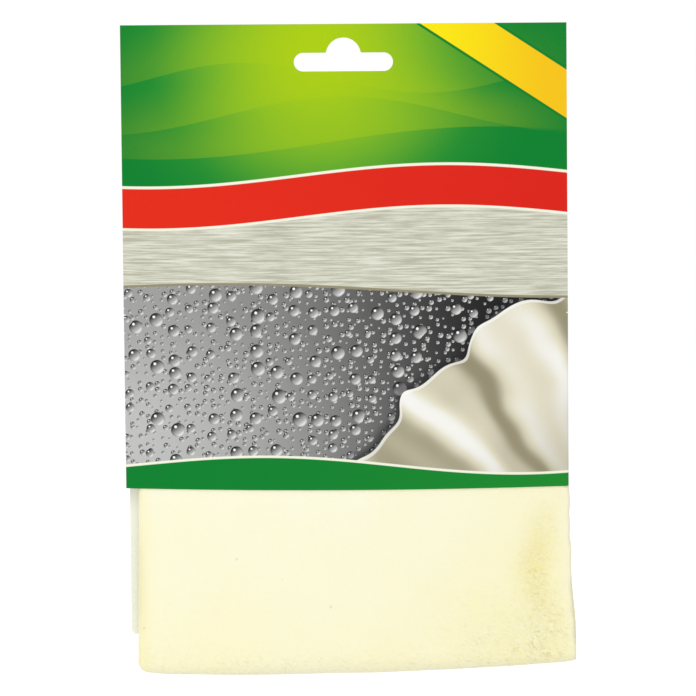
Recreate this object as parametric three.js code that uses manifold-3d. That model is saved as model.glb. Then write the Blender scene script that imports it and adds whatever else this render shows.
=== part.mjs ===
// A chamois leather in its hanging card: a folded skin held in a board sleeve with a tall header.
// Millimetres, +Z up, +X to the right of the front, and the front faces -Y.
// The origin is where a shop peg carries the card: the top of the hang slot, in mid board.
import * as THREE from "three";
import { mergeVertices } from "three/addons/utils/BufferGeometryUtils.js";
import Module from "manifold-3d";

const wasm = await Module();
wasm.setup();

// Card: one printed board, scored into panels.
const board = 0.5;
const cardWidth = 142.8;
const cardAbovePeg = 4.4;
const nickBelowPeg = 89;
const mouthBelowPeg = 145.7;
const tongueBelowMouth = 49.3;
const tongueCorner = 1.6;
const bendInside = 0.2;
const scoreGap = 0.1;
const nickHeight = 0.5;
const seamEdge = 0.6;

// Front of the sleeve: flat at the header, then bowed out over the skin.
const bulge = 6;
const bulgeStart = 45;
const bulgeFull = 100;

// Hang slot: a long slot with a round hump that rides on the peg.
const slotWidth = 31.75;
const slotHeight = 6;
const humpRadius = 5.6;
const humpRise = 4.85;
const slotFillet = 0.4;

// Seam that closes the sleeve.
const flapWidth = 15;
const flapTaper = 4;
const glueFilm = 0.1;
const glueWidth = 8;
const glueMargin = 4;

// Skin: folded in half twice across, then once downwards.
const skinThickness = 0.55;
const plyGap = 0.32;
const slip = 0.3;
const leftRoom = 3.6;
const leftLean = 1;
const skinLag = 6;
const skinTopBelowPeg = 25;
const skinBelowMouth = 61.7;
const skinFlare = 3.1;
const frontPlyInset = 0.6;
const cornerInset = 3.6;
const bottomRise = 3.3;
const lowPointLeft = 50;

// Counts.
const plyCount = 8;
const bowRows = 3;
const panelColumns = 12;
const plySegments = 4;
const wideFoldSteps = 5;
const tightFoldSteps = 4;
const bottomFoldSteps = 6;
const curveSteps = 6;

// Places that follow from the sizes.
const half = cardWidth / 2;
const bendRadius = board + bendInside;
const creaseX = half - bendRadius;
const panelHalf = creaseX - scoreGap;
const nickZ = -nickBelowPeg;
const mouthZ = -mouthBelowPeg;
const sleeveTopZ = nickZ - nickHeight;
const tongueZ = mouthZ - tongueBelowMouth;
const stack = plyCount * skinThickness + (plyCount - 1) * plyGap;
const frontInside = board / 2;
const flapInside = frontInside + stack + 2 * slip;
const flapOutside = flapInside + board;
const backInside = flapOutside + glueFilm;
const backOutside = backInside + board;
const skinLeft = leftRoom + board - half;
const skinRight = half - board - slip;
const skinTopZ = -skinTopBelowPeg;
const skinBottomZ = mouthZ - skinBelowMouth;
const skinBack = flapInside - slip;

const { lerp, smoothstep } = THREE.MathUtils;

// Evenly spaced values from one number to another, both ends included.
function spread(from, to, steps) {
  return Array.from({ length: steps + 1 }, (_, i) => lerp(from, to, i / steps));
}

// The same, but drawn together towards both ends.
function gathered(from, to, steps) {
  return spread(0, Math.PI, steps).map((turn) => lerp(from, to, (1 - Math.cos(turn)) / 2));
}

// How far the front stands out of its crease plane: a parabola across, easing in below the header.
function bow(x, z) {
  const across = Math.max(0, 1 - (x / creaseX) ** 2);
  return bulge * across * smoothstep(-z, bulgeStart, bulgeFull);
}

// A closed body between two matching grids of points, point(row, column, side) with side 1 and -1.
function closedSheet(rows, columns, point) {
  const positions = [];
  const index = [];
  for (const side of [1, -1]) {
    for (let row = 0; row < rows; row++) {
      for (let column = 0; column < columns; column++) {
        positions.push(...point(row, column, side));
      }
    }
  }
  const at = (row, column, far) => far * rows * columns + row * columns + column;
  const quad = (a, b, c, d) => index.push(a, b, c, a, c, d);
  for (let r = 0; r < rows - 1; r++) {
    for (let c = 0; c < columns - 1; c++) {
      quad(at(r, c, 0), at(r + 1, c, 0), at(r + 1, c + 1, 0), at(r, c + 1, 0));
      quad(at(r, c, 1), at(r, c + 1, 1), at(r + 1, c + 1, 1), at(r + 1, c, 1));
    }
    const last = columns - 1;
    quad(at(r + 1, 0, 0), at(r, 0, 0), at(r, 0, 1), at(r + 1, 0, 1));
    quad(at(r, last, 0), at(r + 1, last, 0), at(r + 1, last, 1), at(r, last, 1));
  }
  for (let c = 0; c < columns - 1; c++) {
    const last = rows - 1;
    quad(at(0, c, 0), at(0, c + 1, 0), at(0, c + 1, 1), at(0, c, 1));
    quad(at(last, c + 1, 0), at(last, c, 0), at(last, c, 1), at(last, c + 1, 1));
  }
  const geometry = new THREE.BufferGeometry();
  geometry.setAttribute("position", new THREE.Float32BufferAttribute(positions, 3));
  geometry.setIndex(index);
  return geometry;
}

// An upright plate: an outline in X and Z, carried through the board from one depth to another.
function plate(outline, nearY, farY) {
  const options = { depth: farY - nearY, bevelEnabled: false, curveSegments: curveSteps };
  const geometry = new THREE.ExtrudeGeometry(outline, options);
  const position = geometry.getAttribute("position");
  for (let i = 0; i < position.count; i++) {
    position.setXYZ(i, position.getX(i), farY - position.getZ(i), position.getY(i));
  }
  return geometry;
}

// A geometry with its shared corners merged, as a solid that can be cut.
function solid(geometry) {
  const bare = geometry.clone();
  bare.deleteAttribute("normal");
  bare.deleteAttribute("uv");
  const merged = mergeVertices(bare);
  const mesh = new wasm.Mesh({
    numProp: 3,
    vertProperties: merged.getAttribute("position").array,
    triVerts: new Uint32Array(merged.index.array),
  });
  return new wasm.Manifold(mesh);
}

// A cut solid back as a geometry.
function geometryOf(body) {
  const mesh = body.getMesh();
  const geometry = new THREE.BufferGeometry();
  geometry.setAttribute("position", new THREE.BufferAttribute(mesh.vertProperties, 3));
  geometry.setIndex(new THREE.BufferAttribute(mesh.triVerts, 1));
  return geometry;
}

// The hang slot's outline: round ends, and a hump that joins the slot's top edge in two fillets.
function slotOutline() {
  const topZ = -humpRise;
  const endRadius = slotHeight / 2;
  const endX = slotWidth / 2 - endRadius;
  const endZ = topZ - endRadius;
  const filletZ = topZ + slotFillet;
  const filletX = Math.sqrt((humpRadius + slotFillet) ** 2 - (filletZ + humpRadius) ** 2);
  const meet = Math.atan2(filletZ + humpRadius, filletX);
  const quarter = Math.PI / 2;
  const outline = new THREE.Shape();
  outline.absarc(-endX, endZ, endRadius, quarter, 3 * quarter, false);
  outline.absarc(endX, endZ, endRadius, -quarter, quarter, false);
  outline.absarc(filletX, filletZ, slotFillet, -quarter, -Math.PI + meet, true);
  outline.absarc(0, -humpRadius, humpRadius, meet, Math.PI - meet, false);
  outline.absarc(-filletX, filletZ, slotFillet, -meet, -quarter, true);
  return outline;
}

// Header and sleeve front in one board, with the hang slot and a nick at each end of the scores.
function frontPanel() {
  const heights = [cardAbovePeg, ...spread(-bulgeStart, -bulgeFull, bowRows), mouthZ];
  const across = spread(-creaseX, creaseX, panelColumns);
  const places = [-half, ...across, half];
  const sheet = closedSheet(heights.length, places.length, (row, column, side) => {
    const x = places[column];
    const z = heights[row];
    return [x, -bow(x, z) - (side * board) / 2, z];
  });
  const cutDepth = 2 * (bulge + board);
  let body = solid(sheet).subtract(solid(plate(slotOutline(), -cutDepth, cutDepth)));
  for (const side of [-1, 1]) {
    const strip = new THREE.Shape();
    strip.moveTo(side * panelHalf, nickZ);
    strip.lineTo(side * cardWidth, nickZ);
    strip.lineTo(side * cardWidth, 2 * mouthZ);
    strip.lineTo(side * panelHalf, 2 * mouthZ);
    body = body.subtract(solid(plate(strip, -cutDepth, cutDepth)));
  }
  return geometryOf(body);
}

// A side wall with its two rounded creases, from the front panel to the panel behind at farY.
function spine(side, farY) {
  const nearY = -board / 2;
  const quarter = Math.PI / 2;
  const profile = new THREE.Shape();
  profile.absarc(-creaseX, nearY + bendRadius, bendRadius, 3 * quarter, 2 * quarter, true);
  profile.absarc(-creaseX, farY - bendRadius, bendRadius, 2 * quarter, quarter, true);
  profile.absarc(-creaseX, farY - bendRadius, bendInside, quarter, 2 * quarter, false);
  profile.absarc(-creaseX, nearY + bendRadius, bendInside, 2 * quarter, 3 * quarter, false);
  const options = {
    depth: sleeveTopZ - mouthZ,
    bevelEnabled: false,
    curveSegments: curveSteps,
  };
  const geometry = new THREE.ExtrudeGeometry(profile, options);
  geometry.translate(0, 0, mouthZ);
  if (side > 0) {
    const middleY = (nearY + farY) / 2;
    const position = geometry.getAttribute("position");
    for (let i = 0; i < position.count; i++) {
      position.setXY(i, -position.getX(i), 2 * middleY - position.getY(i));
    }
  }
  return geometry;
}

// Back of the sleeve and its tongue, from the left score to a cut edge that covers the glue flap.
function backPanel() {
  const left = -panelHalf;
  const right = half - seamEdge;
  const cornerZ = tongueZ + tongueCorner;
  const quarter = Math.PI / 2;
  const outline = new THREE.Shape();
  outline.absarc(left + tongueCorner, cornerZ, tongueCorner, 2 * quarter, 3 * quarter, false);
  outline.absarc(right - tongueCorner, cornerZ, tongueCorner, 3 * quarter, 4 * quarter, false);
  outline.lineTo(right, sleeveTopZ);
  outline.lineTo(left, sleeveTopZ);
  return plate(outline, backInside, backOutside);
}

// Flap beyond the right spine, tapered at both ends so that it slides in under the back panel.
function glueFlap() {
  const outline = new THREE.Shape();
  outline.moveTo(panelHalf, sleeveTopZ);
  outline.lineTo(panelHalf - flapWidth, sleeveTopZ - flapTaper);
  outline.lineTo(panelHalf - flapWidth, mouthZ + flapTaper);
  outline.lineTo(panelHalf, mouthZ);
  return plate(outline, flapInside, flapOutside);
}

// Film of glue with round ends, down the middle of the flap.
function seamGlue() {
  const middle = panelHalf - flapWidth / 2;
  const radius = glueWidth / 2;
  const inset = flapTaper + glueMargin + radius;
  const outline = new THREE.Shape();
  outline.absarc(middle, sleeveTopZ - inset, radius, 0, Math.PI, false);
  outline.absarc(middle, mouthZ + inset, radius, Math.PI, 2 * Math.PI, false);
  return plate(outline, flapOutside, backInside);
}

// Where the folded skin's front surface lies: inside the front panel, filling out a little lower.
function skinFront(x, z) {
  return frontInside + slip - bow(x, z + skinLag);
}

// Distance from one ply to the next, so that the plies share the room in the sleeve.
function pitch(x, z) {
  return (skinBack - skinFront(x, z) - skinThickness) / (plyCount - 1);
}

// Lower edge of the folded skin: lowest left of the middle, rising to the open edges at the right.
function bottomAt(x) {
  return skinBottomZ + bottomRise * ((x + lowPointLeft) / (half + lowPointLeft)) ** 2;
}

// Height where the plies start to turn round the bottom fold.
function foldStart(x) {
  return bottomAt(x) + (skinBack - skinFront(x, skinBottomZ)) / 2;
}

// The four plies of one half at one height, as a line of [x, distance from the middle of the stack].
// Counted from the middle, it runs in along the outer ply, round the wide fold at the left to the
// inner ply, round a tight fold at the right, back to a tight fold inside the wide one, and out.
function foldedLine(left, right, z) {
  const wide = (plyCount / 2 - 1) / 2;
  const wideX = left + wide * pitch(left, z) + skinThickness / 2;
  const leftPitch = pitch(wideX, z);
  const tightX = right - pitch(right, z) / 2 - skinThickness / 2;
  const rightPitch = pitch(tightX, z);
  const run = (number, from, to) =>
    gathered(from, to, plySegments).map((x) => [x, (number + 0.5) * pitch(x, z)]);
  const turn = (x, number, radius, start, end, steps, size) =>
    spread(start, end, steps)
      .slice(1, -1)
      .map((angle) => [
        x + radius * size * Math.cos(angle),
        (number + 0.5) * size + radius * size * Math.sin(angle),
      ]);
  const quarter = Math.PI / 2;
  return [
    ...run(3, right - frontPlyInset, wideX),
    ...turn(wideX, wide, wide, quarter, 3 * quarter, wideFoldSteps, leftPitch),
    ...run(0, wideX, tightX),
    ...turn(tightX, 0.5, 0.5, -quarter, quarter, tightFoldSteps, rightPitch),
    ...run(1, tightX, wideX),
    ...turn(wideX, wide, 0.5, 3 * quarter, quarter, tightFoldSteps, leftPitch),
    ...run(2, wideX, right),
  ];
}

// Offsets a line to one side by a distance, square to its direction at each point.
function offsetLine(line, distance) {
  return line.map(([x, q], i) => {
    const [beforeX, beforeQ] = line[Math.max(0, i - 1)];
    const [afterX, afterQ] = line[Math.min(line.length - 1, i + 1)];
    const length = Math.hypot(afterX - beforeX, afterQ - beforeQ);
    const normalX = -(afterQ - beforeQ) / length;
    const normalQ = (afterX - beforeX) / length;
    return [x + normalX * distance, q + normalQ * distance];
  });
}

// The whole skin as one closed sheet: the folded plies carried down the front, round the bottom
// fold and up the back.
function chamoisSkin() {
  const bowed = spread(-bulgeStart - skinLag, -bulgeFull - skinLag, bowRows);
  const heights = [skinTopZ, ...bowed, mouthZ];
  const fixed = (z) => () => z;
  const down = heights.map((z) => ({ angle: 0, height: fixed(z), level: z }));
  const middle = { angle: 0, height: (x) => (mouthZ + foldStart(x)) / 2 };
  middle.level = (mouthZ + skinBottomZ) / 2;
  const round = spread(0, Math.PI, bottomFoldSteps).map((angle) => ({
    angle,
    height: foldStart,
    level: skinBottomZ,
  }));
  const up = down.map((station) => ({ ...station, angle: Math.PI })).reverse();
  const stations = [...down, middle, ...round, ...up];
  const lines = stations.map(({ angle, level }) => {
    const below = Math.max(0, mouthZ - level) / skinBelowMouth;
    const left = skinLeft - leftLean * below + cornerInset * (1 - Math.abs(Math.cos(angle)));
    const right = skinRight + skinFlare * Math.sqrt(below);
    return foldedLine(left, right, level);
  });
  const sides = new Map([
    [1, lines.map((line) => offsetLine(line, skinThickness / 2))],
    [-1, lines.map((line) => offsetLine(line, -skinThickness / 2))],
  ]);
  return closedSheet(stations.length, lines[0].length, (row, column, side) => {
    const { angle, height, level } = stations[row];
    const [x, q] = sides.get(side)[row][column];
    const middleY = (skinFront(x, level) + skinBack) / 2;
    return [x, middleY - q * Math.cos(angle), height(x) - q * Math.sin(angle)];
  });
}

// A named mesh with its own material.
function piece(name, geometry, color, roughness) {
  const material = new THREE.MeshStandardMaterial({ color, roughness, metalness: 0 });
  const mesh = new THREE.Mesh(geometry, material);
  mesh.name = name;
  return mesh;
}

const card = new THREE.Group();
card.add(
  piece("front_panel", frontPanel(), 0x2f9e3a, 0.35),
  piece("left_spine", spine(-1, backOutside), 0x1f8a35, 0.35),
  piece("right_spine", spine(1, flapOutside), 0x1f8a35, 0.35),
  piece("back_panel", backPanel(), 0xeceae0, 0.6),
  piece("glue_flap", glueFlap(), 0xeceae0, 0.8),
  piece("seam_glue", seamGlue(), 0xe6dcb8, 0.4),
);

const pack = new THREE.Group();
pack.add(card, piece("chamois_skin", chamoisSkin(), 0xfbf5d0, 0.95));

export default pack;
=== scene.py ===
"""Looks of a chamois leather in its hanging card: folded skin, printed sleeve and plain stage."""

import math

import bmesh
import bpy
import numpy as np
from bpy.props import FloatProperty, FloatVectorProperty, PointerProperty
from mathutils import Matrix, Vector


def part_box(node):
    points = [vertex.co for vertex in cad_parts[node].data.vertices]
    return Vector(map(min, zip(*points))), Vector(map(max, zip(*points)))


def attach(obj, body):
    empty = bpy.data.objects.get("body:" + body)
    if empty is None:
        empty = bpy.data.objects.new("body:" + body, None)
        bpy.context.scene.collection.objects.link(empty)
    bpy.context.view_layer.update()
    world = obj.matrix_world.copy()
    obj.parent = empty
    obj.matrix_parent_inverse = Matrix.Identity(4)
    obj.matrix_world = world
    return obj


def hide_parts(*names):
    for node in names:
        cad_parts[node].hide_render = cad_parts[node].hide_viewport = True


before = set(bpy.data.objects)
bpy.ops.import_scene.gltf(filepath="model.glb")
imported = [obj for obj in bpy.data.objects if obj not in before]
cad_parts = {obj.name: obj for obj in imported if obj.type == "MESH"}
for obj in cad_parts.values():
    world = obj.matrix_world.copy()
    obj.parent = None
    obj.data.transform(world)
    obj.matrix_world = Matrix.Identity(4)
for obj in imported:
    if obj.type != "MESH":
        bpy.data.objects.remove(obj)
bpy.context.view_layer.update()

bl_info = {
    "name": "Chamois leather in its card",
    "version": (1, 0, 0),
    "blender": (4, 5, 0),
    "location": "View3D > Sidebar > Chamois",
    "description": "Dresses the packed chamois leather: printed sleeve, folded skin and stage",
    "category": "Object",
}

MM = 0.001
PRINT_EDGE = 0.12 * MM  # half the softness of a printed edge
FRONT_LOW, FRONT_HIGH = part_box("front_panel")
LEFT_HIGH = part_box("left_spine")[1]
RIGHT_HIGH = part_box("right_spine")[1]
SKIN_LOW, SKIN_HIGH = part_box("chamois_skin")


def ink(red, green, blue):
    """A colour as it looks on a screen, 0 to 255, turned into linear light."""
    level = np.array((red, green, blue)) / 255
    curve = np.where(level <= 0.04045, level / 12.92, ((level + 0.055) / 1.055) ** 2.4)
    return tuple(curve.tolist())


def number(name, description, default, **more):
    """A number, as a property."""
    return FloatProperty(name=name, description=description, default=default, **more)


def length(name, description, default):
    """A length in metres, as a property."""
    return number(name, description, default, unit="LENGTH", precision=5)


def angle(name, description, degrees):
    """An angle, as a property."""
    return number(name, description, math.radians(degrees), subtype="ANGLE")


def power(name, description, watts):
    """A lamp's power, as a property."""
    return number(name, description, watts, min=0, subtype="POWER")


def colour(name, description, *screen):
    """A colour, as a property."""
    linear = ink(*screen)
    return FloatVectorProperty(
        name=name, description=description, default=linear, subtype="COLOR", min=0, max=1
    )


class CardSizes(bpy.types.PropertyGroup):
    """Sizes of the printed card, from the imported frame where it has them."""

    half_width: length("Half width", "From the card's middle to its cut side edge", FRONT_HIGH.x)
    top: length("Top", "Height of the card's top edge over the peg", FRONT_HIGH.z)
    mouth: length("Mouth", "Height of the sleeve's lower edge", FRONT_LOW.z)
    nick: length("Nick", "Height of the two nicks where the scores start", -89 * MM)
    spine_top: length("Spine top", "Height of the side walls' upper ends", LEFT_HIGH.z)
    crease: length("Crease", "From the middle to where the side creases start", -LEFT_HIGH.x)
    bend: length("Bend", "Radius of the creases in mid board", 0.45 * MM)
    left_depth: length("Left depth", "Depth of the left wall's rear face", LEFT_HIGH.y)
    right_depth: length("Right depth", "Depth of the right wall's rear face", RIGHT_HIGH.y)
    board: length("Board", "Thickness of the carton board", 2 * FRONT_HIGH.y)
    bow: length("Bow", "How far the front stands out over the skin", -FRONT_LOW.y - FRONT_HIGH.y)
    bow_start: length("Bow start", "Distance below the peg where the bow begins", 45 * MM)
    bow_full: length("Bow full", "Distance below the peg where the bow is full", 100 * MM)
    slot_width: length("Slot width", "Width of the hang slot", 31.75 * MM)
    slot_height: length("Slot height", "Height of the hang slot's bar", 6 * MM)
    hump_radius: length("Hump radius", "Radius of the hang slot's hump", 5.6 * MM)
    hump_rise: length("Hump rise", "Height of the hump over the bar", 4.85 * MM)
    slot_fillet: length("Slot fillet", "Radius where the hump meets the bar", 0.4 * MM)


class PrintColours(bpy.types.PropertyGroup):
    """Inks of the printed card and the colours of its board."""

    deep_green: colour("Deep green", "Corners of the header and the lower border", 2, 128, 45)
    mid_green: colour("Mid green", "Middle tone of the header", 56, 162, 46)
    lime: colour("Lime", "Glow of the header", 172, 206, 10)
    yellow: colour("Yellow", "Corner ribbon", 250, 232, 10)
    amber: colour("Amber", "Shaded end of the corner ribbon", 246, 196, 22)
    red: colour("Red", "Upper wave", 228, 42, 22)
    crimson: colour("Crimson", "Shaded end of the upper wave", 220, 34, 22)
    silver: colour("Silver", "Bright streaks of the brushed wave", 234, 234, 219)
    pewter: colour("Pewter", "Dark streaks of the brushed wave", 178, 177, 157)
    line: colour("Line", "Pale lines between the waves", 244, 246, 226)
    smoke: colour("Smoke", "Pale end of the wet panel", 194, 195, 193)
    soot: colour("Soot", "Dark end of the wet panel", 30, 29, 31)
    cream: colour("Cream", "Bright side of the drawn leather", 226, 221, 196)
    khaki: colour("Khaki", "Shaded side of the drawn leather", 150, 143, 116)
    white: colour("White", "Glints", 252, 252, 250)
    inside: colour("Inside", "Unprinted side of the board", 248, 250, 240)
    fibre: colour("Fibre", "Darker fibres of the unprinted side", 236, 239, 226)
    core: colour("Core", "Cut edges of the board", 238, 236, 226)
    glue: colour("Glue", "Dried film of adhesive", 226, 214, 176)


class SkinSizes(bpy.types.PropertyGroup):
    """Sizes and colours of the folded skin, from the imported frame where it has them."""

    left: length("Left", "Place of the folded edge at the bottom", SKIN_LOW.x)
    lean: length("Lean", "How much further in the folded edge is at the mouth", 1 * MM)
    right: length("Right", "Place of the open edges inside the sleeve", FRONT_HIGH.x - 0.8 * MM)
    top: length("Top", "Height of the skin's upper edges", SKIN_HIGH.z)
    bottom: length("Bottom", "Lowest point of the bottom fold", SKIN_LOW.z)
    back: length("Back", "Depth of the skin's rear face", SKIN_HIGH.y)
    thickness: length("Thickness", "Thickness of one ply", 0.55 * MM)
    slip: length("Slip", "Room between the skin and the sleeve's front", 0.3 * MM)
    lag: length("Lag", "How much lower than the card the skin fills out", 6 * MM)
    flare: length("Flare", "How far the open edges spread further down", 2.35 * MM)
    inset: length("Inset", "How far plies and folds stop short of the open edges", 0.6 * MM)
    corner: length("Corner", "How far the fold draws in at the bottom corner", 2 * MM)
    rise: length("Rise", "How much higher the bottom fold is at the open edges", 3.3 * MM)
    low_point: length("Low point", "Place of the lowest point, left of the middle", 50 * MM)
    upturn: length("Upturn", "How far the bottom fold turns up at its two ends", 1 * MM)
    hug: length("Hug", "How far the second ply comes forward at its edge", 0.35 * MM)
    swell: length("Swell", "How far the skin springs out under the sleeve's edge", 0.5 * MM)
    sway: length("Sway", "Height of the slow waves in the loose skin", 0.35 * MM)
    dent: length("Dent", "Depth of the rubbed hollow by the open edges", 0.9 * MM)
    hollow_x: length("Hollow across", "Place of the hollow, right of the card's middle", 60.9 * MM)
    hollow_z: length("Hollow height", "Height of the hollow's middle", -172 * MM)
    hollow_radius: length("Hollow radius", "Radius of the arc that the hollow follows", 42 * MM)
    lift: length("Lift", "How far the open edges lift at the front", 0.8 * MM)
    roll_off: length("Roll-off", "How far the front falls away towards the folded edge", 2.4 * MM)
    pop: length("Pop", "How far the open edges spring out right under the sleeve", 0.9 * MM)
    pale: colour("Pale", "Main colour of the napped skin", 253, 251, 224)
    warm: colour("Warm", "Deeper tone of the mottling", 253, 247, 200)
    shade: colour("Shade", "Rubbed patch", 248, 236, 158)
    # honey tone of the worn corner; it also paints shade at the bottom fold and along the left
    # folded edge
    honey_and_shade: colour("Honey", "Worn corner and the folds", 251, 242, 174)
    edge: colour("Edge", "Fluffed raw edges", 254, 251, 234)
    # the speck colour also paints shade between the fibres and on the left side by the folded edge
    speck_and_shade: colour("Speck", "Natural specks, and the shade between fibres", 202, 190, 128)


class StageSettings(bpy.types.PropertyGroup):
    """Where the camera stands, and how bright the stage is."""

    azimuth: angle("Azimuth", "How far right of straight ahead the camera stands", 1.25)
    elevation: angle("Elevation", "How far above the horizon the camera stands", 8.4)
    roll: angle("Roll", "How far the card leans anticlockwise in the picture", 0.53)
    distance: length("Distance", "From the camera to the point that it looks at", 2.5)
    frame_width: length("Frame width", "What the square picture spans at that point", 223.9 * MM)
    aim: FloatVectorProperty(
        name="Aim", description="Point in the middle of the picture",
        default=(0.63 * MM, 0, -100.4 * MM), subtype="TRANSLATION", unit="LENGTH",
    )
    drop: length("Drop", "Room below the hanging skin for pulling it out", 180 * MM)
    sky: number("Sky", "Strength of the even light all round", 0.8, min=0)
    key: power("Key", "Power of the lamp in front", 3.3)
    fill: power("Fill", "Power of the lamp at the front left", 2.5)
    rear: power("Rear", "Power of the lamp behind", 3.4)


class Field:
    """A value that varies over a surface; arithmetic on it adds nodes to its finish."""

    def __init__(self, finish, socket):
        self.finish = finish
        self.socket = socket

    def through(self, operation, *others):
        """This field, and up to two more values, put through one Math node."""
        node = self.finish.node("ShaderNodeMath", operation=operation)
        return self.finish.work(node, self, *others)

    def __add__(self, other):
        return self.through("ADD", other)

    def __sub__(self, other):
        return self.through("SUBTRACT", other)

    def __mul__(self, other):
        return self.through("MULTIPLY", other)

    def __truediv__(self, other):
        return self.through("DIVIDE", other)

    def ease(self, start, end):
        """0 before start and 1 after end, with a smooth step between; start may be the larger."""
        node = self.finish.node("ShaderNodeMapRange", interpolation_type="SMOOTHSTEP")
        return self.finish.work(node, self, start, end)

    def within(self, low, high, soft):
        """1 between low and high and 0 outside, with soft edges."""
        return self.ease(low - soft, low + soft) * self.ease(high + soft, high - soft)

    def wave(self, wavelength, turn=0.0):
        """A sine of that wavelength, moved on by a turn in radians."""
        return (self * (2 * math.pi / wavelength) + turn).through("SINE")


def distance(across, up):
    """How far each point is from a centre, given the two steps from it."""
    return (across * across + up * up).through("SQRT")


class Finish:
    """One procedural material, with short names for the nodes that work out colour and relief."""

    def __init__(self, name, **sockets):
        self.material = bpy.data.materials.new(name)
        self.material.use_nodes = True
        self.tree = self.material.node_tree
        self.shader = self.tree.nodes["Principled BSDF"]
        for socket, value in sockets.items():
            self.shader.inputs[socket.replace("_", " ")].default_value = value
        self.object_place = self.node("ShaderNodeTexCoord").outputs["Object"]

    def node(self, kind, **settings):
        """A new node with its settings."""
        node = self.tree.nodes.new(kind)
        for setting, value in settings.items():
            setattr(node, setting, value)
        return node

    def feed(self, socket, value):
        """Links a field to a socket, or writes a plain value or colour on it."""
        if isinstance(value, Field):
            self.tree.links.new(value.socket, socket)
        elif socket.type == "RGBA":
            socket.default_value = (*value, 1)
        else:
            socket.default_value = value

    def work(self, node, *values):
        """Feeds a node's first sockets in order, and returns its first output."""
        for socket, value in zip(node.inputs, values):
            self.feed(socket, value)
        return Field(self, node.outputs[0])

    def parts(self, vector):
        """The three parts of a vector socket."""
        node = self.node("ShaderNodeSeparateXYZ")
        self.tree.links.new(vector, node.inputs[0])
        return [Field(self, socket) for socket in node.outputs]

    def place(self):
        """The three object coordinates of the surface, in metres."""
        return self.parts(self.object_place)

    def point(self, x, y, z=0.0):
        """Three values as one vector."""
        return self.work(self.node("ShaderNodeCombineXYZ"), x, y, z)

    def noise(self, size, detail=2.0, rough=0.5, at=None, curl=0.0):
        """Smooth noise from 0 to 1 with lumps of about that size; curl bends them into strokes."""
        node = self.node("ShaderNodeTexNoise")
        self.tree.links.new(at.socket if at else self.object_place, node.inputs["Vector"])
        sockets = {"Scale": 1 / size, "Detail": detail, "Roughness": rough, "Distortion": curl}
        for socket, value in sockets.items():
            node.inputs[socket].default_value = value
        return Field(self, node.outputs[0])

    def attribute(self, name):
        """A number stored on the piece's own points."""
        return Field(self, self.node("ShaderNodeAttribute", attribute_name=name).outputs["Fac"])

    def mix(self, amount, first, second):
        """The first colour where amount is 0 and the second where it is 1. The node's sockets for
        colours are found by number."""
        node = self.node("ShaderNodeMix", data_type="RGBA")
        for socket, value in ((0, amount), (6, first), (7, second)):
            self.feed(node.inputs[socket], value)
        return Field(self, node.outputs[2])

    def paint(self, field):
        """Sets the colour."""
        self.feed(self.shader.inputs["Base Color"], field)

    def polish(self, field):
        """Sets the roughness."""
        self.feed(self.shader.inputs["Roughness"], field)

    def relief(self, height, depth):
        """Raises the surface by a height field, whose full step is that depth in metres."""
        node = self.node("ShaderNodeBump")
        node.inputs["Distance"].default_value = depth
        self.feed(node.inputs["Height"], height)
        self.tree.links.new(node.outputs["Normal"], self.shader.inputs["Normal"])


def drops(finish, x, z, cell, ground, inks):
    """Paints water beads on a ground, one to a cell: a disc about each cell's point, darker on the
    lit side and paler on the far side as a lens is, with a small glint."""
    cells = finish.node("ShaderNodeTexVoronoi", voronoi_dimensions="2D")
    finish.feed(cells.inputs["Vector"], finish.point(x / cell, z / cell))
    cells.inputs["Scale"].default_value = 1
    cells.inputs["Randomness"].default_value = 0.72
    chance = finish.parts(cells.outputs["Color"])[0]
    middle_x, middle_z, _ = finish.parts(cells.outputs["Position"])
    size = chance * 0.26 + 0.12
    across = (x / cell - middle_x) / size
    up = (z / cell - middle_z) / size
    out = distance(across, up)
    lit = up * 0.8 - across * 0.6
    lens = finish.mix(lit.ease(0.9, -0.8), inks.soot, inks.smoke)
    lens = finish.mix(lit.ease(-0.35, -0.95) * 0.8, lens, inks.white)
    lens = finish.mix(out.ease(0.72, 1.0) * 0.45, lens, inks.soot)
    glint = distance(across + 0.34, up - 0.42).ease(0.24, 0.14)
    lens = finish.mix(glint, lens, inks.white)
    return finish.mix(out.ease(1.04, 0.94), ground, lens)


def cloth(finish, x, z, ground, inks):
    """A soft leather drawn over a picture from beyond its lower right corner: folds fan out from
    there as sines of the bearing, bent by noise, and end in a scalloped hem with a shadow by it."""
    corner_x, corner_z = 92 * MM, -182 * MM
    across, up = x - corner_x, z - corner_z
    out = distance(across, up)
    bearing = up.through("ARCTAN2", across)
    drift = finish.noise(1, 2, 0.5, finish.point(bearing * 2.2, out / (46 * MM)))
    broad = (bearing * 15 + drift * 7).through("SINE")
    fine = (bearing * 37 + drift * 11 + 1.3).through("SINE")
    crest = broad * 0.75 + fine * 0.3
    hem = (bearing * 4.6).through("SINE") * (3 * MM) + 100 * MM
    reach = out - hem - broad * (2.4 * MM) - fine * (0.8 * MM)
    body = finish.mix(crest.ease(-1.05, 0.5), inks.khaki, inks.cream)
    body = finish.mix(crest.ease(0.25, 1.05) * 0.8, body, inks.white)
    body = finish.mix(reach.ease(-22 * MM, -70 * MM) * 0.55, body, inks.khaki)
    body = finish.mix(reach.within(-1 * MM, 0.0, 0.15 * MM) * 0.6, body, inks.white)
    page = finish.mix(reach.ease(4.5 * MM, 0.0) * 0.75, ground, inks.soot)
    return finish.mix(reach.ease(PRINT_EDGE, -PRINT_EDGE), page, body)


def wet_panel(finish, x, z, inks):
    """Picture of a wet dark panel: grey from pale at the left to dark at the right, small beads and
    large ones over them, and a soft leather drawn over its lower right."""
    ground = finish.mix(x.ease(-76 * MM, 52 * MM), inks.smoke, inks.soot)
    ground = finish.mix(z.ease(-128 * MM, -80 * MM) * 0.35, ground, inks.soot)
    beads = drops(finish, x, z, 2.6 * MM, ground, inks)
    beads = drops(finish, x, z, 6.5 * MM, beads, inks)
    return cloth(finish, x, z, beads, inks)


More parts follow.
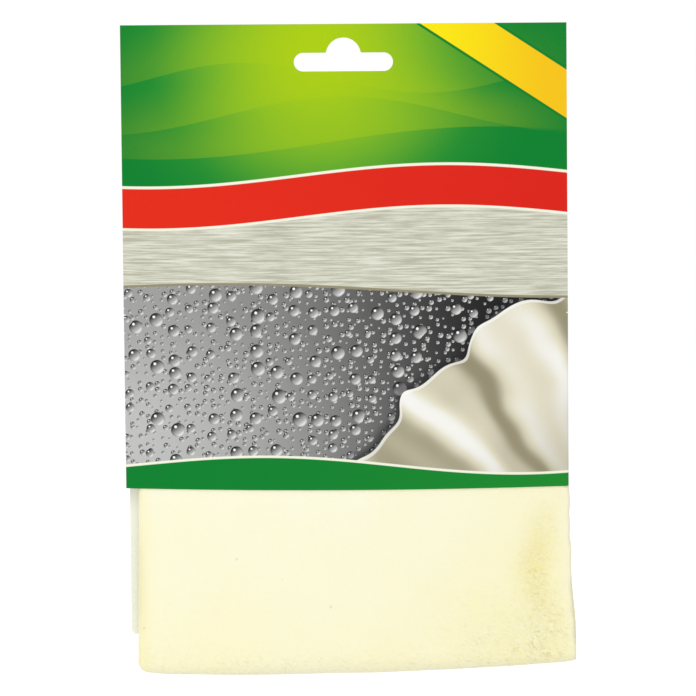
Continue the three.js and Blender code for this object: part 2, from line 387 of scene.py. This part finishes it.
def header(finish, x, z, inks):
    """Header: deep green at the edges, a round lime glow, three lime veils that each start sharp
    along a wave and fade upwards, and a yellow ribbon across the upper right corner."""
    out = distance(x + 8 * MM, z + 4 * MM)
    ground = finish.mix(out.ease(74 * MM, 20 * MM), inks.deep_green, inks.mid_green)
    ground = finish.mix(out.ease(56 * MM, 2 * MM), ground, inks.lime)
    veils = (
        (210 * MM, 0.2, 5 * MM, -34 * MM, 16 * MM, 0.34),
        (150 * MM, 1.6, 6 * MM, -25 * MM, 16 * MM, 0.3),
        (118 * MM, 3.3, 5 * MM, -13 * MM, 20 * MM, 0.26),
    )
    for wavelength, turn, swing, height, fade, strength in veils:
        over = z - x.wave(wavelength, turn) * swing - height
        veil = over.ease(0.0, 0.2 * MM) * over.ease(fade, 0.0) * out.ease(92 * MM, 20 * MM)
        ground = finish.mix(veil * strength, ground, inks.lime)
    low, high, border = 17.2 * MM, 30.2 * MM, 0.8 * MM
    slant = x * 0.55 + z * 0.835
    ribbon = finish.mix(x.ease(26 * MM, 70 * MM), inks.yellow, inks.amber)
    edged = slant.within(low - border, high + border, PRINT_EDGE)
    ground = finish.mix(edged, ground, inks.deep_green)
    return finish.mix(slant.within(low, high, PRINT_EDGE), ground, ribbon)


def printed_board(inks):
    """Varnished print of the card's outside, painted from each point's place across the flat board
    and its height: the header, and below it four bands, each under a thin line along a wave."""
    finish = Finish("Printed board", Specular_IOR_Level=0.1)
    x = finish.attribute("flat_x")
    z = finish.place()[2]
    crest = z - x.wave(188 * MM, 0.5) * (3.6 * MM)
    trough = z + x.wave(236 * MM, -0.6) * (2.6 * MM)
    swash = z - x.wave(172 * MM, 2.5) * (3.2 * MM)
    brushed = finish.noise(1, 4, 0.65, finish.point(x / (15 * MM), z / (0.6 * MM)))
    silver = finish.mix(brushed.ease(0.3, 0.72), inks.pewter, inks.silver)
    red = finish.mix(x.ease(-60 * MM, 80 * MM), inks.red, inks.crimson)
    green = finish.mix(x.ease(330 * MM, -60 * MM), inks.mid_green, inks.deep_green)
    bands = (
        (crest, -44 * MM, -44.9 * MM, inks.line, red),
        (crest, -57.6 * MM, -58.4 * MM, inks.line, silver),
        (trough, -81.2 * MM, -82 * MM, inks.khaki, wet_panel(finish, x, z, inks)),
        (swash, -137.6 * MM, -138.4 * MM, inks.line, green),
    )
    page = header(finish, x, z, inks)
    for wave, line_top, band_top, line, band in bands:
        for top, tone in ((line_top, line), (band_top, band)):
            page = finish.mix(wave.ease(top + PRINT_EDGE, top - PRINT_EDGE), page, tone)
    finish.paint(page)
    finish.polish(finish.noise(9 * MM, 3).ease(0.2, 0.9) * 0.12 + 0.27)
    finish.relief(finish.noise(0.9 * MM, 2), 0.012 * MM)
    return finish.material


def bare_board(inks):
    """Unprinted side of carton board: off-white with fine felted fibres."""
    finish = Finish("Bare board", Specular_IOR_Level=0.25)
    fibres = finish.noise(0.8 * MM, 4, 0.7)
    clouds = finish.noise(14 * MM, 2)
    tone = finish.mix(fibres.ease(0.35, 0.75) * clouds.ease(0.2, 0.8), inks.inside, inks.fibre)
    finish.paint(tone)
    finish.polish(clouds * 0.15 + 0.68)
    finish.relief(fibres, 0.03 * MM)
    return finish.material


def board_core(inks):
    """Cut edge of the board: pale pulp in thin layers."""
    finish = Finish("Board core", Roughness=0.9, Specular_IOR_Level=0.2)
    pulp = finish.noise(0.35 * MM, 3, 0.6)
    finish.paint(finish.mix(pulp.ease(0.3, 0.8), inks.core, inks.fibre))
    finish.relief(pulp, 0.04 * MM)
    return finish.material


def dried_glue(inks):
    """Dried film of adhesive: faintly yellow, smooth and a little uneven."""
    finish = Finish("Dried glue", Specular_IOR_Level=0.4)
    patches = finish.noise(3 * MM, 3)
    finish.paint(finish.mix(patches.ease(0.3, 0.8), inks.glue, inks.core))
    finish.polish(patches * 0.2 + 0.3)
    finish.relief(patches, 0.02 * MM)
    return finish.material


def hollow_line(skin, z):
    """Place across of the rubbed hollow's middle line at a height: an arc that bulges left."""
    up = z - skin.hollow_z
    return up * up / (2 * skin.hollow_radius) + skin.hollow_x


def chamois(skin):
    """Napped oil-tanned skin: mottled cream, a rubbed patch along the hollow, a deeper honey tone
    in the worn corner, painted shade at the bottom fold, along the left folded edge and on the left
    side, bunches of slanting fibres where it is rubbed with painted shade between the fibres, pale
    raw edges, sparse specks and a short felted nap."""
    finish = Finish(
        "Chamois", Roughness=0.96, Specular_IOR_Level=0.12, Sheen_Weight=0.45, Sheen_Roughness=0.55
    )
    x, y, z = finish.place()
    clouds = finish.noise(30 * MM, 4, 0.6)
    tufts = finish.noise(1.7 * MM, 3, 0.6, curl=1.6)
    along = (x - z) / (2.8 * MM) + tufts * 2
    beside = (x + z) / (0.8 * MM) + tufts * 4 + finish.noise(8 * MM, 1) * 14
    hairs = finish.noise(1, 2, 0.55, finish.point(along, beside, y / (0.8 * MM)))
    nap = finish.noise(0.45 * MM, 3, 0.6)
    bunch = finish.noise(5 * MM, 2).ease(0.38, 0.62) * 0.9 + 0.4
    drift = x.ease(0.0, 75 * MM) * 0.5 + z.ease(-146 * MM, -206 * MM) * 0.45
    tone = finish.mix(clouds.ease(0.3, 0.75) * 0.3 + drift, skin.pale, skin.warm)
    # how far each place is rubbed or worn, and where shade is painted: at the bottom fold, along
    # the left folded edge and on the left side
    out = distance((x - hollow_line(skin, z)) * 3, (z - skin.hollow_z) * 0.95)
    patch = out - clouds * (8 * MM) - tufts * (11 * MM)
    patch = patch.ease(26 * MM, -9 * MM) * 0.45 + patch.ease(13 * MM, -10 * MM) * 0.55
    rim = x.ease(67 * MM, 72 * MM)
    corner = x.ease(8 * MM, 70 * MM) * z.ease(-172 * MM, -202 * MM) * (rim * -0.5 + 1)
    # painted shade where the bottom fold turns under
    fold = z.ease(skin.bottom + 15 * MM, skin.bottom + 1 * MM)
    # painted shade along the left folded edge, where the skin turns away from the light
    crease = x.ease(skin.left + 7 * MM, skin.left)
    # painted shade on the left side, low down beside the folded edge
    side = x.ease(skin.left + 4 * MM, skin.left + 0.5 * MM)
    side = side * z.within(-190 * MM, -163 * MM, 8 * MM)
    # wear at the corner, and painted shade at the bottom fold
    wear_and_fold_shade = (corner * 0.6).through("MAXIMUM", fold * 0.3)
    rubbed = (wear_and_fold_shade * 1.25 + patch * 0.42) * bunch
    # colours from broad to fine: tones, fibres, specks, raw edges
    tone = finish.mix(patch * (tufts.ease(0.3, 0.7) * 0.3 + 0.48), tone, skin.shade)
    # honey tone: wear at the corner, and painted shade at the bottom fold and along the left folded
    # edge
    tone = finish.mix(wear_and_fold_shade * (tufts.ease(0.35, 0.7) * 0.55 + 0.2) + crease * 0.42, tone, skin.honey_and_shade)
    tone = finish.mix(tufts.ease(0.5, 0.8) * 0.08, tone, skin.shade)
    # painted shade on the left side
    tone = finish.mix(side * 0.17, tone, skin.speck_and_shade)
    # dark fibre strokes: painted shade between the fibres
    tone = finish.mix(hairs.ease(0.55, 0.67) * rubbed * 0.5, tone, skin.speck_and_shade)
    tone = finish.mix(hairs.ease(0.46, 0.35) * rubbed * 0.95, tone, skin.pale)
    speck_gap = 17 * MM
    cells = finish.node("ShaderNodeTexVoronoi")
    finish.tree.links.new(finish.object_place, cells.inputs["Vector"])
    cells.inputs["Scale"].default_value = 1 / speck_gap
    spots = Field(finish, cells.outputs["Distance"]).ease(0.045, 0.01)
    tone = finish.mix(spots * 0.32, tone, skin.speck_and_shade)
    tone = finish.mix(finish.attribute("raw_edge") * 0.8, tone, skin.edge)
    finish.paint(tone)
    finish.relief(nap * 0.25 + tufts * (wear_and_fold_shade * 2 + patch + 0.3) + hairs * rubbed, 0.25 * MM)
    return finish.material


def ease(share):
    """Smooth step of an array from 0 to 1."""
    share = np.clip(share, 0, 1)
    return share * share * (3 - 2 * share)


def grid_quads(rows, columns, first=0, wrap=False):
    """Corner numbers of the quads of a grid of points, row by row; wrap joins the last column to
    the first."""
    row = np.arange(rows - 1)[:, None]
    column = np.arange(columns if wrap else columns - 1)[None, :]
    right = (column + 1) % columns
    here, below = row * columns, (row + 1) * columns
    corners = (here + column, below + column, below + right, here + right)
    return first + np.stack(corners, axis=-1).reshape(-1, 4)


def make_piece(name, points, quads, materials, **values):
    """A smooth-shaded mesh object from arrays of points and quads, with any values for its points
    stored as attributes of those names."""
    mesh = bpy.data.meshes.new(name)
    mesh.from_pydata(points.tolist(), [], quads.tolist())
    for material in materials:
        mesh.materials.append(material)
    for value, numbers in values.items():
        mesh.attributes.new(value, "FLOAT", "POINT").data.foreach_set("value", numbers)
    mesh.polygons.foreach_set("use_smooth", np.ones(len(mesh.polygons), bool))
    piece = bpy.data.objects.new(name, mesh)
    bpy.context.scene.collection.objects.link(piece)
    return piece


def thicken(piece, board):
    """Gives a mid-board surface its thickness, half to each side: its own material on the outside,
    the second on the inside and the third on the cut edges, with those edges kept sharp."""
    same_place, sharp = 0.001 * MM, math.radians(40)
    work = bmesh.new()
    work.from_mesh(piece.data)
    bmesh.ops.remove_doubles(work, verts=work.verts, dist=same_place)
    work.to_mesh(piece.data)
    work.free()
    wall = piece.modifiers.new("Board", "SOLIDIFY")
    wall.thickness = board
    wall.offset = 0
    wall.material_offset = 1
    wall.material_offset_rim = 2
    bpy.context.view_layer.update()
    depsgraph = bpy.context.evaluated_depsgraph_get()
    mesh = bpy.data.meshes.new_from_object(piece.evaluated_get(depsgraph))
    piece.modifiers.clear()
    piece.data = mesh
    mesh.set_sharp_from_angle(angle=sharp)
    if not mesh.polygons:
        raise RuntimeError(f"{piece.name} has no faces")


def bow_of(card, x, z):
    """How far the sleeve's front stands out of its crease plane: a parabola across, zero at the
    side creases, eased in from the start of the bow to its full height."""
    across = np.clip(1 - (x / card.crease) ** 2, 0, None)
    return card.bow * across * ease((-z - card.bow_start) / (card.bow_full - card.bow_start))


def arc(x, z, radius, start, end, count=40):
    """Points along an arc of a circle, from one angle to another."""
    turn = np.linspace(start, end, count)
    return np.column_stack((x + radius * np.cos(turn), z + radius * np.sin(turn)))


def slot_line(card, count=1500):
    """The hang slot's outline as closely spaced points: half circles at both ends, and a round hump
    that joins the bar's upper edge in two fillets."""
    top = -card.hump_rise
    end = card.slot_height / 2
    end_x = card.slot_width / 2 - end
    fillet = card.slot_fillet
    lift = top + fillet + card.hump_radius
    fillet_x = math.sqrt((card.hump_radius + fillet) ** 2 - lift**2)
    meet = math.atan2(lift, fillet_x)
    quarter = math.pi / 2
    arcs = (
        arc(-end_x, top - end, end, quarter, 3 * quarter),
        arc(end_x, top - end, end, -quarter, quarter),
        arc(fillet_x, top + fillet, fillet, -quarter, meet - math.pi),
        arc(0, -card.hump_radius, card.hump_radius, meet, math.pi - meet),
        arc(-fillet_x, top + fillet, fillet, -meet, -quarter),
    )
    line = np.concatenate((*arcs, arcs[0][:1]))
    way = np.concatenate(([0], np.cumsum(np.hypot(*np.diff(line, axis=0).T))))
    even = np.linspace(0, way[-1], count, endpoint=False)
    return np.column_stack([np.interp(even, way, line[:, axis]) for axis in (0, 1)])


def front_surface(card):
    """Mid surface of the front panel. Round the slot it is a web of rays from the slot's middle,
    each point a share of the way from the slot's outline to the header's outline. Below that it is
    a grid over X and Z, set forward by the bow, and narrower from the nicks down."""
    web_depth, sleeve_columns, grid_rows, slot_step = 22 * MM, 65, 28, 5
    middle = -card.hump_rise - card.slot_height / 2
    low = middle - web_depth
    outline = slot_line(card) - (0, middle)
    bearing = np.arctan2(outline[:, 1], outline[:, 0])
    order = np.argsort(bearing)
    radius = np.hypot(*outline.T)[order]
    corners_x = np.array([-card.half_width, card.half_width])
    columns = np.linspace(-card.crease, card.crease, sleeve_columns)
    feet = np.arctan2(low - middle, np.concatenate((columns, corners_x)))
    heads = np.arctan2(card.top - middle, corners_x)
    rays = np.concatenate((bearing[order][::slot_step], feet, heads))
    rays = np.unique(np.round(rays, 9))
    inner = np.interp(rays, bearing[order], radius, period=2 * math.pi)
    across, up = np.cos(rays), np.sin(rays)
    tiny = 1e-9
    sides = card.half_width / np.maximum(np.abs(across), tiny)
    ends = np.where(up > 0, card.top - middle, middle - low) / np.maximum(np.abs(up), tiny)
    outer = np.minimum(sides, ends)
    share = np.array([0, 0.02, 0.08, 0.25, 0.55, 1])[:, None]
    reach = inner + (outer - inner) * share
    web = np.stack((reach * across, middle + reach * up), axis=-1)
    foot = (ends <= sides * (1 + 1e-6)) & (up < 0)
    foot_x = np.sort((outer * across)[foot])
    sleeve_x = foot_x[np.abs(foot_x) <= card.crease + 1e-7]
    points, quads = [web.reshape(-1, 2)], [grid_quads(len(share), len(rays), wrap=True)]
    count = web.shape[0] * web.shape[1]
    for places, start, end in ((foot_x, low, card.nick), (sleeve_x, card.nick, card.mouth)):
        x, z = np.meshgrid(places, np.linspace(start, end, grid_rows))
        points.append(np.column_stack((x.ravel(), z.ravel())))
        quads.append(grid_quads(grid_rows, len(places), count))
        count += x.size
    x, z = np.concatenate(points).T
    return np.column_stack((x, -bow_of(card, x, z), z)), np.concatenate(quads)


def spine_surface(card, side, depth):
    """Mid surface of a side wall: a quarter round, a straight run and a quarter round, carried down
    from under the nick to the mouth."""
    crease_points, rows = 12, 24
    far = depth - card.board / 2 - card.bend
    quarter = math.pi / 2
    front = arc(-card.crease, card.bend, card.bend, 3 * quarter, 2 * quarter, crease_points)
    rear = arc(-card.crease, far, card.bend, 2 * quarter, quarter, crease_points)
    profile = np.concatenate((front, rear))
    steps = np.hypot(*np.diff(profile, axis=0).T)
    flat = side * (card.crease + np.concatenate(([0], np.cumsum(steps))))
    if side > 0:
        profile = profile * (-1, 1)
    else:
        profile, flat = profile[::-1], flat[::-1]
    heights = np.linspace(card.spine_top, card.mouth, rows)
    z, x = np.meshgrid(heights, profile[:, 0], indexing="ij")
    y, flat = np.broadcast_to(profile[:, 1], z.shape), np.broadcast_to(flat, z.shape)
    return np.stack((x, y, z), axis=-1).reshape(-1, 3), grid_quads(*z.shape), flat.ravel()


def closed_sheet(inner, outer):
    """One closed body between two grids of points of the same shape, with a rim all round."""
    rows, columns = inner.shape[:2]
    near = np.arange(rows * columns).reshape(rows, columns)
    far = near + rows * columns
    rims = [
        (near[1:, 0], near[:-1, 0], far[:-1, 0], far[1:, 0]),
        (near[:-1, -1], near[1:, -1], far[1:, -1], far[:-1, -1]),
        (near[0, :-1], near[0, 1:], far[0, 1:], far[0, :-1]),
        (near[-1, 1:], near[-1, :-1], far[-1, :-1], far[-1, 1:]),
    ]
    faces = grid_quads(rows, columns)
    quads = [faces, faces[:, ::-1] + rows * columns, *(np.stack(rim, axis=-1) for rim in rims)]
    return np.concatenate((inner.reshape(-1, 3), outer.reshape(-1, 3))), np.concatenate(quads)


class FoldedSkin:
    """The folded skin as arrays over a grid: columns run along the folded section, and rows run
    down the front, round the bottom fold and up the back."""

    plies = 8
    front_columns, hidden_columns, open_columns = 112, 12, 26
    wide_turn, tight_turn = 18, 8
    hidden_rows, shown_rows, fold_rows, back_rows = 14, 84, 32, 40
    fray, ragged, fluff = 0.13 * MM, 0.9 * MM, 1.8 * MM
    ripples = ((0.45, 9.7, 13.2, 0.7), (0.3, 5.9, -8.4, 2.1), (0.15, 3.7, 6.5, 4))

    def __init__(self, skin, card):
        self.skin = skin
        self.card = card

    def loose(self, x, z):
        """Soft shape of the free part, outwards: it springs out under the sleeve's edge, ripples as
        a sum of slanting sines, has a hollow by the open edges, lifts at those edges, and falls off
        towards the folded edge."""
        skin = self.skin
        below = self.card.mouth - z
        swell = skin.swell * ease(below / (5 * MM)) * (1 - 0.5 * ease((below - 8 * MM) / (30 * MM)))
        slow = sum(
            share * np.sin(x / (wide * MM) + z / (tall * MM) + turn)
            for share, wide, tall, turn in self.ripples
        )
        hollow_tall, hollow_wide = 17 * MM, 5.5 * MM
        along = (z - skin.hollow_z) / hollow_tall
        across = (x - hollow_line(skin, z)) / hollow_wide
        hollow = skin.dent * np.exp(-(across**2) - along**2)
        lift = skin.lift * ease((x - 63 * MM) / (9 * MM)) * ease(below / (40 * MM))
        rolled = skin.roll_off * np.exp(-np.clip(x - skin.left, 0, None) / (3.4 * MM))
        return swell + ease(below / (9 * MM)) * (skin.sway * slow - hollow + lift - rolled)

    def front(self, x, z):
        """Depth of the skin's front face: inside the sleeve's front, filling out a little lower."""
        inside = self.card.board / 2 + self.skin.slip
        return inside - bow_of(self.card, x, z + self.skin.lag) - self.loose(x, z)

    def pitch(self, x, z):
        """Distance from one ply to the next, so that all the plies share the room."""
        return (self.skin.back - self.front(x, z) - self.skin.thickness) / (self.plies - 1)

    def fold_start(self, x):
        """Height where the plies start to turn round the bottom fold: half the stack over its lower
        edge, a parabola that is lowest left of the middle and turns up steeply at both ends."""
        skin = self.skin
        share = (x + skin.low_point) / (self.card.half_width + skin.low_point)
        end = skin.right + skin.pop + skin.flare
        ends = np.exp((skin.left - x) / (4.5 * MM)) + np.exp((x - end) / (1.6 * MM))
        lower = skin.bottom + skin.rise * share**2 + skin.upturn * ends
        return lower + (skin.back - self.front(x, skin.bottom)) / 2

    def stations(self):
        """The rows as columns of numbers: the bend angle, and the shares of the top, the mouth and
        the bottom fold that make up the height."""
        hidden = np.linspace(0, 1, self.hidden_rows, endpoint=False)
        shown = np.linspace(0, 1, self.shown_rows, endpoint=False) ** 1.3
        turned = np.linspace(0, math.pi, self.fold_rows)
        back = np.linspace(1, 0, self.back_rows + 1)[1:]
        over = back * 0 + math.pi
        angles = np.concatenate((hidden * 0, shown * 0, turned, over, over))
        mouth = np.concatenate((hidden, 1 - shown, turned * 0, 1 - back, back))
        fold = np.concatenate((hidden * 0, shown, turned * 0 + 1, back, back * 0))
        return [row[:, None] for row in (angles, 1 - mouth - fold, mouth, fold)]

    def section(self, level, left, right):
        """The four plies of one half at each row, as X and as distance from the stack's middle: in
        along the outer ply, round a wide fold at the left to the inner ply, round a tight fold at
        the right that stops short by the inset, back to a tight fold inside the wide one, and out.
        Peek is how much the second open end shows past the first."""
        skin = self.skin
        wide, half_ply, quarter = 1.5, skin.thickness / 2, math.pi / 2
        wide_x = left + wide * self.pitch(left, level) + half_ply
        tight_x = right - skin.inset - self.pitch(right, level) / 2 - half_ply
        left_pitch, right_pitch = self.pitch(wide_x, level), self.pitch(tight_x, level)
        below = self.card.mouth - level
        peek = 0.8 * ease((below - 20 * MM) / (14 * MM)) - 0.6 * ease((below - 44 * MM) / (14 * MM))
        frayed = self.fray * (np.sin(level / (3.1 * MM)) + np.sin(level / (1.27 * MM) + 1))
        outer_end = right - skin.inset * peek + frayed
        wander = 0.15 * MM * np.sin(level / (4.3 * MM) + 2)
        inner_end = right - skin.inset * 0.6 * (1 - peek) + wander

        def run(ply, start, end, count):
            """Along one ply, counted from the stack's middle."""
            x = start + (end - start) * np.linspace(0, 1, count)
            return x, (ply + 0.5) * self.pitch(x, level)

        def turn(x, ply, radius, start, end, count, size):
            """Round a fold from one angle to another; its middle and radius are in plies."""
            way = np.linspace(start, end, count + 2)[1:-1]
            return x + radius * size * np.cos(way), (ply + 0.5 + radius * np.sin(way)) * size

        second_x, second_out = run(2, wide_x, inner_end, self.open_columns)
        second_out = second_out + skin.hug * ease((second_x - inner_end) / (3 * MM) + 1)
        parts = [
            run(3, outer_end, wide_x, self.front_columns),
            turn(wide_x, wide, wide, quarter, 3 * quarter, self.wide_turn, left_pitch),
            run(0, wide_x, tight_x, self.hidden_columns),
            turn(tight_x, 0.5, 0.5, -quarter, quarter, self.tight_turn, right_pitch),
            run(1, tight_x, wide_x, self.hidden_columns),
            turn(wide_x, wide, 0.5, 3 * quarter, quarter, self.tight_turn, left_pitch),
            (second_x, second_out),
        ]
        return [np.concatenate(coordinate, axis=1) for coordinate in zip(*parts)]

    def place(self, x, out, station):
        """Carries the section down the front, round the bottom fold and up the back: depth is the
        stack's middle less the distance out times the cosine of the bend, and height falls by its
        sine. The upper edges are ragged."""
        skin = self.skin
        angles, top, mouth, fold = station
        drop = self.ragged * (1 + np.sin(x / (13 * MM) + out / (1.1 * MM) + angles))
        height = top * (skin.top - drop) + mouth * self.card.mouth + fold * self.fold_start(x)
        middle = (self.front(x, height) + skin.back) / 2
        return np.stack((x, middle - out * np.cos(angles), height - out * np.sin(angles)), axis=-1)

    def build(self):
        """Points and quads of the closed sheet, how near each point is to a fluffed edge (the outer
        ply's open edge or an upper edge), and the flat size."""
        skin, card = self.skin, self.card
        station = self.stations()
        angles, top, mouth, fold = station
        level = top * skin.top + mouth * card.mouth + fold * self.fold_start(0.0)
        below = np.clip(card.mouth - level, 0, None)
        leaning = skin.lean * (1 - below / (card.mouth - skin.bottom))
        left = skin.left + leaning + skin.corner * (1 - np.abs(np.cos(angles)))
        flare_end, flare_power = 53 * MM, 1.7
        spread = np.minimum(below / flare_end, 1) ** flare_power
        right = skin.right + skin.pop * ease(below / (1.2 * MM)) + skin.flare * spread
        x, out = self.section(level, left, right)
        step_x, step_out = np.gradient(x, axis=1), np.gradient(out, axis=1)
        span = np.hypot(step_x, step_out)
        middle = self.place(x, out, station)
        along = np.linalg.norm(np.diff(middle, axis=0), axis=2)
        run_down = np.concatenate((np.zeros_like(along[:1]), np.cumsum(along, axis=0)))
        across = np.cumsum(span, axis=1)
        upper = np.minimum(run_down, run_down[-1:] - run_down)
        edge = np.minimum(np.minimum(across, across[:, -1:] - across), upper)
        half_ply = skin.thickness / 2 * (0.7 + 0.3 * ease(edge / (1.6 * MM)))
        shift_x, shift_out = -step_out / span * half_ply, step_x / span * half_ply
        inner = self.place(x + shift_x, out + shift_out, station)
        outer = self.place(x - shift_x, out - shift_out, station)
        raw = np.exp(-np.minimum(across, upper) / self.fluff).ravel()
        flat = (float(across[:, -1].mean()), float(run_down[-1].mean()))
        return *closed_sheet(inner, outer), np.concatenate((raw, raw)), flat


def board_finishes(inks):
    """The card's three finishes: printed outside, bare inside and cut edge."""
    found = bpy.data.materials.get
    return [
        found("Printed board") or printed_board(inks),
        found("Bare board") or bare_board(inks),
        found("Board core") or board_core(inks),
    ]


def refinish(node, material):
    """Gives a CAD node that keeps its shape a finish of its own."""
    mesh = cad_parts[node].data
    mesh.materials.clear()
    mesh.materials.append(material)


class CHAMOIS_OT_front_panel(bpy.types.Operator):
    """Builds the header and the sleeve's bowed front in one printed board"""

    bl_idname = "chamois.front_panel"
    bl_label = "Front panel"

    def execute(self, context):
        card, inks = context.scene.chamois_card, context.scene.chamois_inks
        points, quads = front_surface(card)
        flat = points[:, 0].copy()
        piece = make_piece("printed_front", points, quads, board_finishes(inks), flat_x=flat)
        thicken(piece, card.board)
        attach(piece, "card")
        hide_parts("front_panel")
        return {"FINISHED"}


class CHAMOIS_OT_side_walls(bpy.types.Operator):
    """Builds the two narrow side walls with their rounded creases"""

    bl_idname = "chamois.side_walls"
    bl_label = "Side walls"

    def execute(self, context):
        card, inks = context.scene.chamois_card, context.scene.chamois_inks
        finishes = board_finishes(inks)
        walls = (("left", -1, card.left_depth), ("right", 1, card.right_depth))
        for name, side, depth in walls:
            points, quads, flat = spine_surface(card, side, depth)
            piece = make_piece(f"printed_{name}_wall", points, quads, finishes, flat_x=flat)
            thicken(piece, card.board)
            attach(piece, "card")
            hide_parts(f"{name}_spine")
        return {"FINISHED"}


class CHAMOIS_OT_back_and_seam(bpy.types.Operator):
    """Finishes the back panel, the glue flap and the seam's glue, which keep their shapes"""

    bl_idname = "chamois.back_and_seam"
    bl_label = "Back and seam"

    def execute(self, context):
        inks = context.scene.chamois_inks
        _, bare, _ = board_finishes(inks)
        refinish("back_panel", bare)
        refinish("glue_flap", bare)
        refinish("seam_glue", dried_glue(inks))
        return {"FINISHED"}


class CHAMOIS_OT_folded_skin(bpy.types.Operator):
    """Builds the chamois skin, folded into four plies across and once downwards"""

    bl_idname = "chamois.folded_skin"
    bl_label = "Folded skin"

    def execute(self, context):
        skin, card = context.scene.chamois_skin, context.scene.chamois_card
        points, quads, raw, flat = FoldedSkin(skin, card).build()
        piece = make_piece("folded_chamois", points, quads, [chamois(skin)], raw_edge=raw)
        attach(piece, "skin")
        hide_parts("chamois_skin")
        return {"FINISHED"}


def background_light(tree, target, base, extra):
    """Sets a strength: base for lighting, and base plus extra for what camera, glossy and clear
    rays see."""
    rays = tree.nodes.new("ShaderNodeLightPath")
    seen = rays.outputs["Is Camera Ray"]
    for kind in ("Is Glossy Ray", "Is Transmission Ray"):
        either = tree.nodes.new("ShaderNodeMath")
        either.operation = "MAXIMUM"
        tree.links.new(seen, either.inputs[0])
        tree.links.new(rays.outputs[kind], either.inputs[1])
        seen = either.outputs[0]
    level = tree.nodes.new("ShaderNodeMath")
    level.operation = "MULTIPLY_ADD"
    level.inputs[1].default_value = extra
    level.inputs[2].default_value = base
    tree.links.new(seen, level.inputs[0])
    tree.links.new(level.outputs[0], target)


class CHAMOIS_OT_stage(bpy.types.Operator):
    """Sets the pale floor, the even light, three soft lamps and the camera"""

    bl_idname = "chamois.stage"
    bl_label = "Stage"

    def execute(self, context):
        scene = context.scene
        stage = scene.chamois_stage
        scene.view_settings.view_transform = "Standard"
        self.set_floor(stage)
        self.set_light(scene, stage)
        self.set_camera(scene, stage)
        return {"FINISHED"}

    def set_floor(self, stage):
        """A wide floor below the lowest pose: pale grey to the light, and white to the camera."""
        reach, tone = 20.0, 0.9
        x, y = np.meshgrid((-reach, reach), (-reach, reach))
        height = np.full(4, SKIN_LOW.z - stage.drop)
        points = np.column_stack((x.ravel(), y.ravel(), height))
        finish = Finish("Floor", Roughness=1.0, Specular_IOR_Level=0.0)
        finish.shader.inputs["Base Color"].default_value = (tone, tone, tone, 1)
        finish.shader.inputs["Emission Color"].default_value = (1, 1, 1, 1)
        shown = 1 - tone * stage.sky
        background_light(finish.tree, finish.shader.inputs["Emission Strength"], 0.0, shown)
        floor = make_piece("floor", points, np.array([[0, 1, 3, 2]]), [finish.material])

    def set_light(self, scene, stage):
        """An even white sky, and three soft square lamps placed from the aim and turned to it."""
        lamp_size = 0.6
        world = bpy.data.worlds.new("Even light")
        world.use_nodes = True
        scene.world = world
        sky = world.node_tree.nodes["Background"]
        sky.inputs["Color"].default_value = (1, 1, 1, 1)
        background_light(world.node_tree, sky.inputs["Strength"], stage.sky, 1 - stage.sky)
        aim = Vector(stage.aim)
        lamps = (
            ("key_lamp", stage.key, (0.1, -1.3, 0.85)),
            ("fill_lamp", stage.fill, (-1.1, -1.0, 0.35)),
            ("rear_lamp", stage.rear, (0.5, 1.3, 0.7)),
        )
        for name, watts, place in lamps:
            light = bpy.data.lights.new(name, "AREA")
            light.energy = watts
            light.size = lamp_size
            lamp = bpy.data.objects.new(name, light)
            lamp.location = aim + Vector(place)
            lamp.rotation_euler = (-Vector(place)).to_track_quat("-Z", "Y").to_euler()
            scene.collection.objects.link(lamp)

    def set_camera(self, scene, stage):
        """The picture's axes come from the azimuth and elevation, turned by the roll, and the lens
        from the width that the square picture spans at the aim."""
        turn, tilt = stage.azimuth, stage.elevation
        flat = math.cos(tilt)
        towards = Vector((math.sin(turn) * flat, -math.cos(turn) * flat, math.sin(tilt)))
        level = Vector((math.cos(turn), math.sin(turn), 0))
        upright = towards.cross(level)
        right = level * math.cos(stage.roll) - upright * math.sin(stage.roll)
        up = level * math.sin(stage.roll) + upright * math.cos(stage.roll)
        data = bpy.data.cameras.new("camera")
        data.sensor_width = 36
        data.lens = data.sensor_width * stage.distance / stage.frame_width
        camera = bpy.data.objects.new("camera", data)
        turned = Matrix((right, up, towards)).transposed()
        place = Matrix.Translation(Vector(stage.aim) + towards * stage.distance)
        camera.matrix_world = place @ turned.to_4x4()
        scene.collection.objects.link(camera)
        scene.camera = camera


class CHAMOIS_PT_sidebar(bpy.types.Panel):
    """Lists the sizes and colours, and the steps in order"""

    bl_idname = "CHAMOIS_PT_sidebar"
    bl_label = "Chamois leather"
    bl_space_type = "VIEW_3D"
    bl_region_type = "UI"
    bl_category = "Chamois"

    def draw(self, context):
        for name in GROUPS:
            group = getattr(context.scene, name)
            box = self.layout.box()
            for setting in group.bl_rna.properties.keys():
                if setting not in ("rna_type", "name"):
                    box.prop(group, setting)
        for step in STEPS:
            self.layout.operator(step.bl_idname)


GROUPS = {
    "chamois_card": CardSizes,
    "chamois_inks": PrintColours,
    "chamois_skin": SkinSizes,
    "chamois_stage": StageSettings,
}
STEPS = (
    CHAMOIS_OT_front_panel,
    CHAMOIS_OT_side_walls,
    CHAMOIS_OT_back_and_seam,
    CHAMOIS_OT_folded_skin,
    CHAMOIS_OT_stage,
)


def register():
    for name, group in GROUPS.items():
        bpy.utils.register_class(group)
        setattr(bpy.types.Scene, name, PointerProperty(type=group))
    for step in (*STEPS, CHAMOIS_PT_sidebar):
        bpy.utils.register_class(step)


def unregister():
    for step in (CHAMOIS_PT_sidebar, *reversed(STEPS)):
        bpy.utils.unregister_class(step)
    for name, group in reversed(GROUPS.items()):
        delattr(bpy.types.Scene, name)
        bpy.utils.unregister_class(group)


def main():
    """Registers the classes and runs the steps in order."""
    register()
    bpy.ops.chamois.front_panel()
    bpy.ops.chamois.side_walls()
    bpy.ops.chamois.back_and_seam()
    bpy.ops.chamois.folded_skin()
    bpy.ops.chamois.stage()
    bpy.context.view_layer.update()


if __name__ == "__main__":
    main()
